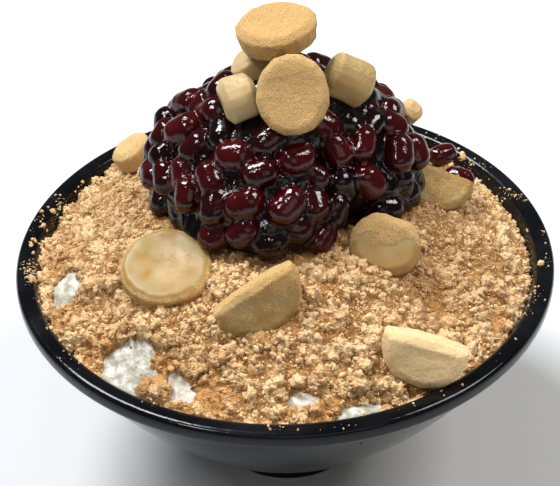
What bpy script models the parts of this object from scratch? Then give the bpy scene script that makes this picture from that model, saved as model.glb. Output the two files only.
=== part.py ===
"""A bowl of bingsu: shaved ice heaped in a black bowl, under a layer of roasted soybean powder,
with a heap of sweet red beans and slices of rice cake on top.

Metres, +Z up. The origin is the middle of the bowl's foot, on the table. -Y is the front.
"""

import math

import bmesh
import bpy
from mathutils import Matrix, Vector, noise

MM = 0.001

# Bowl
RIM_RADIUS = 75.0 * MM
RIM_HEIGHT = 69.7 * MM
LIP_DROP = 3.4 * MM            # from the rim's top down to its widest circle
LIP_WIDTH = 4.8 * MM
NECK_RADIUS = 71.0 * MM        # where the wall meets the lip from below
NECK_HEIGHT = 62.3 * MM
FOOT_RADIUS = 23.0 * MM
FOOT_HEIGHT = 6.0 * MM
FOOT_BAND = 4.0 * MM           # width of the ring that stands on the table
FOOT_RECESS = 2.0 * MM
WALL = 3.5 * MM
WALL_BULGE = 3.7 * MM          # how far the wall swells beyond a straight cone
BOWL_SIDES = 40

# Rings of the layers' surfaces, as shares of the way from the middle to the bowl
TOP_SHARES = (0.25, 0.40, 0.48, 0.55, 0.62, 0.70, 0.78, 0.86, 0.94, 1.0)
BASE_SHARES = (0.40, 0.55, 0.70, 0.86, 1.0)

# Fillings, from the bottom up
GAP = 0.3 * MM                 # kept between neighbours
LAYER_GAP = 0.5 * MM           # between the powder and the ice under it
POWDER_EDGE = 66.0 * MM        # height of the powder where it meets the bowl
POWDER_TOP = 86.0 * MM         # height of the flat that the beans lie on
POWDER_SLOPE = 0.62
POWDER_THICKNESS = 5.0 * MM
POWDER_EDGE_THICKNESS = 3.0 * MM
HEAP_CENTRE = (2.3 * MM, 7.5 * MM)
HEAP_RADIUS = 38.5 * MM
HEAP_SHOULDER = 23.4 * MM      # rise of the heap's steep, broad-shouldered body
HEAP_PEAK = 12.5 * MM          # further rise in the middle
BEAN_LENGTH = 10.0 * MM
BEAN_WIDTH = 7.0 * MM
BEAN_RELIEF = 2.2 * MM

BLACK_GLAZE = ("black_glaze", (0.012, 0.013, 0.016), 0.12)
ICE = ("ice", (0.86, 0.88, 0.88), 0.55)
POWDER = ("soybean_powder", (0.62, 0.40, 0.19), 0.95)
BEANS = ("red_beans", (0.10, 0.012, 0.012), 0.12)
RICE_CAKE = ("rice_cake", (0.74, 0.57, 0.32), 0.55)

# Lumps of ice that stand out of the powder: place on the surface, and half sizes along
# the slope's width, its fall line and its normal.
ICE_LUMPS = [
    {"at": (-60.5, -15.5, 67.5), "size": (6.0, 5.0, 6.0)},
    {"at": (-40.5, -49.5, 67.0), "size": (7.5, 7.5, 6.5)},
    {"at": (-26.0, -56.0, 67.5), "size": (4.5, 4.0, 6.0)},
    {"at": (3.5, -61.5, 67.0), "size": (5.0, 3.5, 5.5)},
    {"at": (17.5, -63.0, 64.5), "size": (6.5, 3.0, 5.5)},
]

# Slices of rice cake. at: middle of the slice. elevation, azimuth: where its face looks.
# roll: turn about the face's own axis. cut: height of a straight cut across the slice, as a
# share of its radius from the middle, where 1 is a whole slice.
RICE_CAKES = {
    "rice_cake_top": {
        "at": (-0.6, 7.3, 133.5), "elevation": 82, "azimuth": 205, "roll": 0,
        "width": 22.0, "height": 21.5, "thickness": 7.6, "cut": 1.0, "taper": 0.12},
    "rice_cake_front": {
        "at": (3.2, -9.8, 125.0), "elevation": 33, "azimuth": -97, "roll": 0,
        "width": 19.2, "height": 20.4, "thickness": 5.4, "cut": 1.0, "taper": 0.0},
    "rice_cake_left_stub": {
        "at": (-10.8, -3.5, 121.0), "elevation": -12, "azimuth": 195, "roll": 0,
        "width": 12.4, "height": 12.4, "thickness": 9.4, "cut": 1.0, "taper": 0.06},
    "rice_cake_back_stub": {
        "at": (-7.2, 8.5, 122.6), "elevation": 55, "azimuth": 170, "roll": 0,
        "width": 11.0, "height": 11.0, "thickness": 9.0, "cut": 1.0, "taper": 0.06},
    "rice_cake_right_stub": {
        "at": (17.8, 3.6, 121.2), "elevation": 30, "azimuth": 180, "roll": 0,
        "width": 12.0, "height": 11.6, "thickness": 12.4, "cut": 1.0, "taper": -0.04},
    "rice_cake_left": {
        "at": (-31.0, -26.0, 82.4), "elevation": 76, "azimuth": -100, "roll": 0,
        "width": 25.6, "height": 25.4, "thickness": 7.0, "cut": 1.0, "taper": 0.06},
    "rice_cake_centre": {
        "at": (-8.3, -40.4, 87.2), "elevation": 22, "azimuth": -82, "roll": 28,
        "width": 24.5, "height": 24.5, "thickness": 7.5, "cut": 0.05, "taper": 0.0},
    "rice_cake_right": {
        "at": (26.4, -22.4, 86.2), "elevation": 44, "azimuth": -98, "roll": -12,
        "width": 19.0, "height": 17.0, "thickness": 7.5, "cut": 0.8, "taper": 0.0},
    "rice_cake_rim": {
        "at": (34.6, -52.6, 78.4), "elevation": 20, "azimuth": -102, "roll": -10,
        "width": 22.2, "height": 23.0, "thickness": 8.0, "cut": 0.08, "taper": 0.0},
    "rice_cake_far_right": {
        "at": (42.0, 9.5, 85.3), "elevation": 55, "azimuth": -55, "roll": -42,
        "width": 23.0, "height": 23.0, "thickness": 6.5, "cut": 0.1, "taper": 0.0},
    "rice_cake_far_left": {
        "at": (-44.0, 36.0, 78.4), "elevation": 62, "azimuth": 170, "roll": 0,
        "width": 14.0, "height": 12.0, "thickness": 7.5, "cut": 1.0, "taper": 0.0},
    "rice_cake_shoulder": {
        "at": (35.4, 18.0, 101.5), "elevation": 50, "azimuth": -30, "roll": 0,
        "width": 7.5, "height": 7.0, "thickness": 6.5, "cut": 1.0, "taper": 0.0},
}
CAKE_SIDES = 16
CAKE_WOBBLE = 0.035            # unevenness of a slice's outline

LOOSE_BEANS = {
    "loose_bean_near": {"at": (50.2, 16.0, 80.0), "elevation": -30, "azimuth": 60},
    "loose_bean_far": {"at": (47.2, 31.0, 78.2), "elevation": 35, "azimuth": 120},
}


def clear_scene():
    for thing in list(bpy.data.objects):
        bpy.data.objects.remove(thing, do_unlink=True)


def material(look):
    name, colour, roughness = look
    made = bpy.data.materials.get(name) or bpy.data.materials.new(name)
    made.use_nodes = True
    shader = made.node_tree.nodes["Principled BSDF"]
    shader.inputs["Base Color"].default_value = (*colour, 1.0)
    shader.inputs["Roughness"].default_value = roughness
    shader.inputs["Metallic"].default_value = 0.0
    return made


def add_object(name, body, look):
    """Turns a bmesh into a smooth-shaded object with its own material."""
    bmesh.ops.recalc_face_normals(body, faces=body.faces[:])
    mesh = bpy.data.meshes.new(name)
    body.to_mesh(mesh)
    body.free()
    mesh.shade_smooth()
    mesh.set_sharp_from_angle(angle=math.radians(50))
    mesh.materials.append(material(look))
    made = bpy.data.objects.new(name, mesh)
    bpy.context.scene.collection.objects.link(made)
    return made


def close_rings(rings, first_pole, last_pole):
    """One closed body from a stack of rings of points, with a pole at each end."""
    body = bmesh.new()
    loops = [[body.verts.new(point) for point in ring] for ring in rings]
    sides = len(loops[0])
    for low, high in zip(loops, loops[1:]):
        for i in range(sides):
            j = (i + 1) % sides
            body.faces.new((low[i], low[j], high[j], high[i]))
    for loop, pole in ((loops[0], first_pole), (loops[-1], last_pole)):
        middle = body.verts.new(pole)
        for i in range(sides):
            body.faces.new((loop[i], loop[(i + 1) % sides], middle))
    return body


def circle(radius, height, sides=BOWL_SIDES):
    turns = [2 * math.pi * i / sides for i in range(sides)]
    return [(radius * math.cos(t), radius * math.sin(t), height) for t in turns]


def smooth_step(value):
    value = min(max(value, 0.0), 1.0)
    return value * value * (3 - 2 * value)


def wall_point(share, inset):
    """Radius and height on the bowl's wall, from the neck (0) to the foot (1), moved inwards."""
    start = Vector((NECK_RADIUS, NECK_HEIGHT))
    end = Vector((FOOT_RADIUS + 1.0 * MM, FOOT_HEIGHT))
    outward = Vector((start.y - end.y, end.x - start.x)).normalized()
    control = (start + end) / 2 + 2 * WALL_BULGE * outward
    point = start * (1 - share) ** 2 + control * 2 * share * (1 - share) + end * share ** 2
    along = (control - start) * (1 - share) + (end - control) * share
    inward = Vector((along.y, -along.x)).normalized()
    return point + inward * inset


def inner_radius(height, inset=0.0):
    """Inside radius of the bowl at a height, less an inset."""
    neck = wall_point(0.0, WALL)
    if height >= neck.y:
        share = (height - neck.y) / (RIM_HEIGHT - 1.0 * MM - neck.y)
        return neck.x + share * (RIM_RADIUS - LIP_WIDTH - neck.x) - inset
    low, high = 0.0, 1.0
    for _ in range(40):
        middle = (low + high) / 2
        if wall_point(middle, WALL).y > height:
            low = middle
        else:
            high = middle
    return wall_point(low, WALL).x - inset


def bowl_profile():
    """Outline from under the foot, up the outside, over the lip and down the inside."""
    wide = RIM_HEIGHT - LIP_DROP
    outline = [
        (FOOT_RADIUS - FOOT_BAND - 1.0 * MM, FOOT_RECESS),
        (FOOT_RADIUS - FOOT_BAND, 0.0),
        (FOOT_RADIUS - 0.5 * MM, 0.0),
        (FOOT_RADIUS, 0.5 * MM),
        (FOOT_RADIUS - 0.4 * MM, FOOT_HEIGHT - 0.8 * MM),
    ]
    steps = 5
    outline += [tuple(wall_point(1 - i / steps, 0.0)) for i in range(steps + 1)]
    outline += [
        (RIM_RADIUS - 1.2 * MM, wide - 1.5 * MM),
        (RIM_RADIUS, wide),
        (RIM_RADIUS - 0.5 * MM, RIM_HEIGHT - 1.3 * MM),
        (RIM_RADIUS - 1.8 * MM, RIM_HEIGHT - 0.2 * MM),
        (RIM_RADIUS - 3.0 * MM, RIM_HEIGHT),
        (RIM_RADIUS - LIP_WIDTH + 0.6 * MM, RIM_HEIGHT - 0.3 * MM),
        (RIM_RADIUS - LIP_WIDTH, RIM_HEIGHT - 1.0 * MM),
    ]
    outline += [tuple(wall_point(i / steps, WALL)) for i in range(steps + 1)]
    return outline


def build_bowl():
    outline = bowl_profile()
    rings = [circle(radius, height) for radius, height in outline]
    inside_floor = wall_point(1.0, WALL).y
    body = close_rings(rings, (0, 0, FOOT_RECESS), (0, 0, inside_floor))
    return add_object("bowl", body, BLACK_GLAZE)


def heap_edge(angle):
    """Radius of the bean heap's foot about the heap's own centre."""
    def swell(centre, width):
        away = (math.degrees(angle) - centre + 180) % 360 - 180
        return math.exp(-(away / width) ** 2)
    edge = HEAP_RADIUS - 10.5 * MM * swell(-58, 30) - 1.5 * MM * swell(-115, 20)
    return edge + 3.0 * MM * swell(160, 25) - 1.5 * MM * swell(90, 40)


def share_of_heap(x, y):
    """0 at the heap's centre, 1 at its foot."""
    dx, dy = x - HEAP_CENTRE[0], y - HEAP_CENTRE[1]
    return math.hypot(dx, dy) / heap_edge(math.atan2(dy, dx))


def powder_height(x, y):
    """Top of the powder: a cone up from the bowl's edge to a flat that holds the beans."""
    radius = math.hypot(x, y)
    cone = POWDER_EDGE + POWDER_SLOPE * (69.0 * MM - radius)
    under_beans = smooth_step((1.12 - share_of_heap(x, y)) / 0.1)
    bed = cone + (POWDER_TOP - cone) * under_beans
    away_from_edges = smooth_step((68.0 * MM - radius) / (8.0 * MM)) * (1 - under_beans)
    waves = 1.6 * MM * noise.noise(Vector((x, y, 0.0)) / (16.0 * MM)) * away_from_edges
    return min(bed + waves, POWDER_TOP)


def powder_depth(radius):
    share = smooth_step((68.0 * MM - radius) / (14.0 * MM))
    return POWDER_EDGE_THICKNESS + (POWDER_THICKNESS - POWDER_EDGE_THICKNESS) * share


def layer_rings(shares, height_of, edge_radius, sides):
    """Rings over the bowl, each point set to its height. A share is of the edge radius."""
    rings = []
    for share in shares:
        ring = []
        for x, y, _ in circle(edge_radius * share, 0.0, sides):
            ring.append((x, y, height_of(x, y)))
        rings.append(ring)
    return rings


def ice_edge():
    """Outer radius of the ice's top, which the underside of the powder shares."""
    return inner_radius(POWDER_EDGE - POWDER_EDGE_THICKNESS - LAYER_GAP, GAP + 0.1 * MM)


def build_powder():
    edge = inner_radius(POWDER_EDGE, GAP + 0.1 * MM)

    def base_height(x, y):
        return powder_height(x, y) - powder_depth(math.hypot(x, y))

    top = layer_rings(TOP_SHARES, powder_height, edge, BOWL_SIDES)
    base = layer_rings(BASE_SHARES, base_height, ice_edge(), BOWL_SIDES)
    middle = powder_height(0, 0)
    body = close_rings(base + top[::-1], (0, 0, middle - powder_depth(0)), (0, 0, middle))
    return add_object("bean_powder", body, POWDER)


def build_ice():
    lowest = wall_point(0.97, WALL + GAP + 0.1 * MM)

    def ice_height(x, y):
        return powder_height(x, y) - powder_depth(math.hypot(x, y)) - LAYER_GAP

    edge_height = POWDER_EDGE - POWDER_EDGE_THICKNESS - LAYER_GAP
    top = layer_rings(BASE_SHARES, ice_height, ice_edge(), BOWL_SIDES)
    steps = 5
    below = []
    for i in range(steps):
        height = edge_height - (edge_height - lowest.y) * ((i + 1) / steps) ** 0.8
        below.append(circle(inner_radius(height, GAP + 0.1 * MM), height))
    body = close_rings(top + below, (0, 0, ice_height(0, 0)), (0, 0, lowest.y))
    return add_object("shaved_ice", body, ICE)


def heap_height(share, x, y):
    body = HEAP_SHOULDER * max(0.0, 1 - share ** 2.9) ** 0.48
    peak = HEAP_PEAK * math.exp(-(share / 0.5) ** 2)
    nearest = noise.voronoi(Vector((x, y, body)) / BEAN_LENGTH)[0][0]
    relief = BEAN_RELIEF * (1 - 2 * nearest) * smooth_step((1 - share) / 0.15)
    return body + peak + relief


def build_bean_heap():
    sides = 46
    floor = POWDER_TOP + GAP
    rings = []
    foot = []
    for share in (1.0, 0.98, 0.94, 0.88, 0.80, 0.70, 0.59, 0.47, 0.35, 0.23, 0.11):
        ring = []
        for i in range(sides):
            angle = 2 * math.pi * i / sides
            reach = heap_edge(angle) * share
            x = HEAP_CENTRE[0] + reach * math.cos(angle)
            y = HEAP_CENTRE[1] + reach * math.sin(angle)
            ring.append((x, y, floor + 1.5 * MM + heap_height(share, x, y)))
            if share == 1.0:
                foot.append((HEAP_CENTRE[0] + reach * 0.96 * math.cos(angle),
                             HEAP_CENTRE[1] + reach * 0.96 * math.sin(angle), floor))
        rings.append(ring)
    summit = (*HEAP_CENTRE, floor + 1.5 * MM + heap_height(0.0, *HEAP_CENTRE))
    body = close_rings([foot] + rings, (*HEAP_CENTRE, floor), summit)
    return add_object("red_bean_heap", body, BEANS)


def facing(elevation, azimuth, roll=0.0):
    """Turns local +Z to look that way, with local +Y upwards, then rolls about it."""
    el, az = math.radians(elevation), math.radians(azimuth)
    look = Vector((math.cos(el) * math.cos(az), math.cos(el) * math.sin(az), math.sin(el)))
    across = Vector((-math.sin(az), math.cos(az), 0.0))
    upwards = look.cross(across)
    turned = Matrix((across, upwards, look)).transposed().to_4x4()
    return turned @ Matrix.Rotation(math.radians(roll), 4, "Z")


def slice_outline(cake, seed, grow):
    """Points round a slice, with a straight cut if it has one, in its own flat frame."""
    half_width = cake["width"] / 2 * MM
    half_height = cake["height"] / 2 * MM
    points = []
    for i in range(CAKE_SIDES):
        turn = 2 * math.pi * (i + 0.5) / CAKE_SIDES
        way = Vector((math.cos(turn), math.sin(turn)))
        wobble = 1 + CAKE_WOBBLE * noise.noise(Vector((way.x * 1.3, way.y * 1.3, seed * 5.7))) * 2
        x, y = way.x * half_width * wobble, way.y * half_height * wobble
        crown = 0.10 * (1 - (x / half_width) ** 2)
        y = min(y, (cake["cut"] + crown) * half_height)
        points.append(Vector((x, y)))
    middle = sum(points, Vector((0, 0))) / len(points)
    return [point + (point - middle).normalized() * grow for point in points], middle


def cake_body(cake, seed, grow=0.0):
    """A slice with rounded edges, its faces slightly hollow. grow moves every face outwards."""
    outline, middle = slice_outline(cake, seed, grow)
    half = cake["thickness"] / 2 * MM + grow
    edge = min(1.4 * MM, half * 0.35)
    levels = [(-half, 1.6 * edge), (-half + 1.1 * edge, 0.0),
              (half - 1.1 * edge, 0.0), (half, 1.6 * edge)]
    rings = []
    for height, inset in levels:
        shrink = 1 - cake["taper"] * (0.5 - height / (2 * half))
        ring = []
        for point in outline:
            arm = (point - middle) * shrink
            arm -= arm.normalized() * min(inset, arm.length * 0.8)
            ring.append((middle.x + arm.x, middle.y + arm.y, height))
        rings.append(ring)
    dish = 0.02 * cake["width"] * MM
    low, high = (middle.x, middle.y, -half + dish - grow), (middle.x, middle.y, half - dish + grow)
    body = close_rings(rings, low, high)
    place = Matrix.Translation(Vector(cake["at"]) * MM)
    body.transform(place @ facing(cake["elevation"], cake["azimuth"], cake["roll"]))
    return body


def bean_body(bean, grow=0.0):
    """A plump bean, with its long way along local X."""
    body = bmesh.new()
    bmesh.ops.create_icosphere(body, subdivisions=2, radius=1.0)
    long, wide = BEAN_LENGTH / 2 + grow, BEAN_WIDTH / 2 + grow
    for corner in body.verts:
        x, y, z = corner.co
        blunt = 1 + 0.12 * x * x * (1 - x * x) * 4
        corner.co = Vector((x * long, y * wide * blunt, z * wide * 0.94 * blunt))
    place = Matrix.Translation(Vector(bean["at"]) * MM)
    body.transform(place @ facing(bean["elevation"], bean["azimuth"]))
    return body


def lump_body(lump, grow=0.0):
    """A rough lump that leans with the cone's slope and stays inside the bowl."""
    body = bmesh.new()
    bmesh.ops.create_icosphere(body, subdivisions=2, radius=1.0)
    wide, long, thick = (size * MM + grow for size in lump["size"])
    for corner in body.verts:
        rough = 1 + 0.16 * noise.noise(corner.co * 1.7 + Vector(lump["at"]))
        corner.co = Vector((corner.co.x * wide, corner.co.y * long, corner.co.z * thick)) * rough
    x, y, _ = lump["at"]
    slope = 90 - math.degrees(math.atan(POWDER_SLOPE))
    place = Matrix.Translation(Vector(lump["at"]) * MM)
    body.transform(place @ facing(slope, math.degrees(math.atan2(y, x))))
    for corner in body.verts:
        reach = math.hypot(corner.co.x, corner.co.y)
        limit = inner_radius(corner.co.z, GAP + 0.4 * MM)
        if reach > limit:
            corner.co.x *= limit / reach
            corner.co.y *= limit / reach
    return body


def combine(target, body, operation):
    """Cuts a body away from the target, or joins it on, and keeps the result in the mesh."""
    tool = add_object(target.name + "_tool", body, ICE)
    tool.hide_render = True
    tool.display_type = "WIRE"
    modifier = target.modifiers.new(operation.lower(), "BOOLEAN")
    modifier.operation = operation
    modifier.solver = "EXACT"
    modifier.object = tool
    bpy.context.view_layer.update()
    evaluated = target.evaluated_get(bpy.context.evaluated_depsgraph_get())
    result = bpy.data.meshes.new_from_object(evaluated)
    target.modifiers.remove(modifier)
    target.data = result
    bpy.data.objects.remove(tool, do_unlink=True)


def keep_largest(target):
    """Drops any crumb that a cut has set free, so the piece stays one body."""
    body = bmesh.new()
    body.from_mesh(target.data)
    body.faces.ensure_lookup_table()
    islands = []
    left = set(body.faces)
    while left:
        island = {left.pop()}
        front = list(island)
        while front:
            face = front.pop()
            for edge in face.edges:
                for other in edge.link_faces:
                    if other in left:
                        left.discard(other)
                        island.add(other)
                        front.append(other)
        islands.append(island)
    islands.sort(key=len)
    for island in islands[:-1]:
        corners = {corner for face in island for corner in face.verts}
        bmesh.ops.delete(body, geom=list(corners), context="VERTS")
    body.to_mesh(target.data)
    body.free()


def main():
    clear_scene()
    build_bowl()
    ice = build_ice()
    powder = build_powder()
    heap = build_bean_heap()

    for lump in ICE_LUMPS:
        combine(powder, lump_body(lump, GAP), "DIFFERENCE")
        combine(ice, lump_body(lump), "UNION")

    for seed, (name, cake) in enumerate(RICE_CAKES.items()):
        for neighbour in (ice, powder, heap):
            combine(neighbour, cake_body(cake, seed, GAP + 0.05 * MM), "DIFFERENCE")
        add_object(name, cake_body(cake, seed), RICE_CAKE)

    for name, bean in LOOSE_BEANS.items():
        for neighbour in (powder, heap):
            combine(neighbour, bean_body(bean, GAP + 0.05 * MM), "DIFFERENCE")
        add_object(name, bean_body(bean), BEANS)

    for cut_piece in (ice, powder, heap):
        keep_largest(cut_piece)


main()
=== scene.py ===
# A bowl of bingsu: shaved ice under roasted soybean powder, sweet red beans and rice cakes.
import math
import random

import bmesh
import bpy
from mathutils import Matrix, Vector, noise
from mathutils.bvhtree import BVHTree
from mathutils.kdtree import KDTree


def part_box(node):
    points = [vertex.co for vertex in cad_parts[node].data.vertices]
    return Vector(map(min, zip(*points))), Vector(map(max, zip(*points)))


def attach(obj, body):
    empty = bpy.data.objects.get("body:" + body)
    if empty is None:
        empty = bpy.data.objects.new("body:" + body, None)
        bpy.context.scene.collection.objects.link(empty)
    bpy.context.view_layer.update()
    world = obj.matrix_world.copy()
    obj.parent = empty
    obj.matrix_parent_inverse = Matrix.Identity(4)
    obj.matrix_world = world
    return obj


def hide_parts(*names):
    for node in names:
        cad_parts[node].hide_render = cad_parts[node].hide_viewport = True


mm = 0.001

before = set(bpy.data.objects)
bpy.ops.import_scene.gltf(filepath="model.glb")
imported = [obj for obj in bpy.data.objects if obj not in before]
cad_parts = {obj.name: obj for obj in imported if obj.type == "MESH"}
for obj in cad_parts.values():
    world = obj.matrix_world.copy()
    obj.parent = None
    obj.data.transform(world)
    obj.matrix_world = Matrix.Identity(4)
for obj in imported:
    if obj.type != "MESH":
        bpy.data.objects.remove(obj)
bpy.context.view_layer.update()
print("frame loaded", sorted(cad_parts))


# Helpers for node trees.
def feed(tree, value, socket):
    if isinstance(value, bpy.types.NodeSocket):
        tree.links.new(value, socket)
    elif value is not None:
        socket.default_value = value


# A new node with its own settings, and its sockets fed by name or number.
def addNode(tree, kind, sockets=(), **settings):
    node = tree.nodes.new(kind)
    for name, value in settings.items():
        setattr(node, name, value)
    for key, value in dict(sockets).items():
        feed(tree, value, node.inputs[key])
    return node


def calc(tree, operation, *values):
    return addNode(tree, "ShaderNodeMath", enumerate(values), operation=operation).outputs[0]


def times(tree, *values):
    return calc(tree, "MULTIPLY", *values)


def vectorCalc(tree, operation, *values):
    keys = (0, "Scale") if operation == "SCALE" else (0, 1)
    node = addNode(tree, "ShaderNodeVectorMath", zip(keys, values), operation=operation)
    return node.outputs["Value" if operation in ("LENGTH", "DISTANCE") else 0]


def ramp(tree, value, low, high, toLow=0.0, toHigh=1.0):
    sockets = enumerate((value, low, high, toLow, toHigh))
    return addNode(tree, "ShaderNodeMapRange", sockets, interpolation_type="SMOOTHSTEP").outputs[0]


def noiseAt(tree, where, scale, detail=2.0, roughness=0.5):
    sockets = {"Vector": where, "Scale": scale, "Detail": detail, "Roughness": roughness}
    return addNode(tree, "ShaderNodeTexNoise", sockets).outputs[0]


def cellsAt(tree, where, scale):
    return addNode(tree, "ShaderNodeTexVoronoi", {"Vector": where, "Scale": scale}).outputs["Distance"]


def blend(tree, share, first, second):
    colours = [c if isinstance(c, bpy.types.NodeSocket) else (*c, 1.0) for c in (first, second)]
    return addNode(tree, "ShaderNodeMix", zip((0, 6, 7), (share, *colours)), data_type="RGBA").outputs[2]


def newTree(name, numbers, counts=()):
    tree = bpy.data.node_groups.new(name, "GeometryNodeTree")
    kinds = {"Geometry": "Geometry", "Material": "Material"}
    kinds.update({**dict.fromkeys(numbers, "Float"), **dict.fromkeys(counts, "Int")})
    for label, kind in kinds.items():
        tree.interface.new_socket(label, in_out="INPUT", socket_type="NodeSocket" + kind)
    tree.interface.new_socket("Geometry", in_out="OUTPUT", socket_type="NodeSocketGeometry")
    return tree, tree.nodes.new("NodeGroupInput").outputs, tree.nodes.new("NodeGroupOutput").inputs[0]


# Ends a tree: instances made real, then the material.
def closeTree(tree, given, last, result):
    real = addNode(tree, "GeometryNodeRealizeInstances", {0: last}).outputs[0]
    coat = addNode(tree, "GeometryNodeSetMaterial", {"Geometry": real, "Material": given["Material"]})
    tree.links.new(coat.outputs[0], result)
    return tree


# An attribute that the mesh carries, inside a Geometry Nodes tree.
def stored(tree, name, kind="FLOAT"):
    return addNode(tree, "GeometryNodeInputNamedAttribute", {"Name": name}, data_type=kind).outputs[0]


# Moves every corner along its normal.
def pushOut(tree, given, amount):
    normal = tree.nodes.new("GeometryNodeInputNormal").outputs[0]
    sockets = {"Geometry": given["Geometry"], "Offset": vectorCalc(tree, "SCALE", normal, amount)}
    return addNode(tree, "GeometryNodeSetPosition", sockets).outputs[0]


# Runs a tree on an object and keeps the result as a plain mesh.
def grow(thing, tree, settings):
    modifier = thing.modifiers.new(tree.name, "NODES")
    modifier.node_group = tree
    for item in tree.interface.items_tree:
        if item.in_out == "INPUT" and item.name in settings:
            modifier[item.identifier] = settings[item.name]
    return makePlain(thing)


def makePlain(thing):
    bpy.context.view_layer.update()
    evaluated = thing.evaluated_get(bpy.context.evaluated_depsgraph_get())
    mesh = bpy.data.meshes.new_from_object(evaluated)
    thing.modifiers.clear()
    thing.data = mesh
    return thing


def newObject(name, data):
    thing = bpy.data.objects.new(name, data)
    bpy.context.scene.collection.objects.link(thing)
    return thing


def meshObject(name, points, faces, edges=()):
    mesh = bpy.data.meshes.new(name)
    mesh.from_pydata(points, edges, faces)
    mesh.update()
    return newObject(name, mesh)


def meshFrom(body, name):
    mesh = bpy.data.meshes.new(name)
    body.to_mesh(mesh)
    body.free()
    return mesh


def setMask(mesh, name, values):
    layer = mesh.attributes.get(name) or mesh.attributes.new(name, "FLOAT", "POINT")
    layer.data.foreach_set("value", values)


def copyOfNode(node, name):
    body = bmesh.new()
    body.from_mesh(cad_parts[node].data)
    bmesh.ops.remove_doubles(body, verts=body.verts[:], dist=0.00001)
    return newObject(name, meshFrom(body, name))


def remeshed(thing, voxel, smoothing):
    shell = thing.modifiers.new("shell", "REMESH")
    shell.mode = "VOXEL"
    shell.voxel_size = voxel
    soft = thing.modifiers.new("soft", "SMOOTH")
    soft.factor = 0.5
    soft.iterations = smoothing
    return makePlain(thing)


def hand(thing, slotName, *nodes):
    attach(thing, "root")
    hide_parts(*nodes)
    bpy.context.view_layer.update()
    mesh = thing.data
    mesh.calc_loop_triangles()
    print("  ", thing.name, len(mesh.loop_triangles), "triangles")


def paint(thing, material):
    thing.data.materials.clear()
    thing.data.materials.append(material)
    thing.data.shade_smooth()


def newMaterial(name, roughness, ior=1.45):
    material = bpy.data.materials.new(name)
    material.use_nodes = True
    tree = material.node_tree
    shader = tree.nodes["Principled BSDF"]
    setShader(tree, shader, {"Roughness": roughness, "IOR": ior})
    return material, tree, shader, tree.nodes.new("ShaderNodeTexCoord").outputs["Object"]


# A number or colour is set on the shader's own socket, and a pattern is linked to it.
def setShader(tree, shader, values):
    for name, value in values.items():
        feed(tree, value, shader.inputs[name])


def maskNode(tree, name):
    return addNode(tree, "ShaderNodeAttribute", attribute_name=name).outputs["Fac"]


def bumpNode(tree, height, strength, distance):
    sockets = {"Height": height, "Strength": strength, "Distance": distance}
    return addNode(tree, "ShaderNodeBump", sockets).outputs[0]


# Faces between two closed rings of corners.
def band(near, far):
    turned = [*range(1, len(near)), 0]
    return [(near[i], far[i], far[j], near[j]) for i, j in enumerate(turned)]


def smoothStep(low, high, value):
    share = min(max((value - low) / (high - low), 0.0), 1.0)
    return share * share * (3 - 2 * share)


# The bowl.
bowl = {
    "rimRadius": 75.0 * mm, "rimHeight": 69.7 * mm, "lipDrop": 3.4 * mm, "lipWidth": 4.8 * mm,
    "neckRadius": 71.0 * mm, "neckHeight": 62.3 * mm, "bulge": 3.7 * mm, "wall": 3.5 * mm,
    "footRadius": 23.0 * mm, "footHeight": 6.0 * mm, "footBand": 4.0 * mm, "footRecess": 2.0 * mm,
    "sides": 220, "steps": 26, "pathRadius": 200.0 * mm,   # of the circle that the outline is swept along
    "glaze": (0.0024, 0.0026, 0.0034), "glazeWorn": (0.006, 0.0065, 0.008),
    "roughness": 0.09, "gloss": (0.06, 0.18),
}


def wallPoint(share, inset):
    start = Vector((bowl["neckRadius"], bowl["neckHeight"]))
    end = Vector((bowl["footRadius"] + 1.0 * mm, bowl["footHeight"]))
    outward = Vector((start.y - end.y, end.x - start.x)).normalized()
    middle = (start + end) / 2 + 2 * bowl["bulge"] * outward
    point = start * (1 - share) ** 2 + middle * 2 * share * (1 - share) + end * share ** 2
    along = (middle - start) * (1 - share) + (end - middle) * share
    return point + Vector((along.y, -along.x)).normalized() * inset


def innerRadius(height, inset=0.0):
    neck = wallPoint(0.0, bowl["wall"])
    if height >= neck.y:
        share = (height - neck.y) / (bowl["rimHeight"] - 1.0 * mm - neck.y)
        return neck.x + share * (bowl["rimRadius"] - bowl["lipWidth"] - neck.x) - inset
    low, high = 0.0, 1.0
    for _ in range(30):
        middle = (low + high) / 2
        if wallPoint(middle, bowl["wall"]).y > height:
            low = middle
        else:
            high = middle
    return wallPoint(low, bowl["wall"]).x - inset


# Points along a rounded corner between two straight edges.
def roundCorner(before, corner, after, radius, steps=6):
    corner = Vector(corner)
    first = corner + (Vector(before) - corner).normalized() * radius
    last = corner + (Vector(after) - corner).normalized() * radius
    found = []
    for i in range(steps + 1):
        t = i / steps
        found.append(first * (1 - t) ** 2 + corner * 2 * t * (1 - t) + last * t ** 2)
    return found


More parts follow.
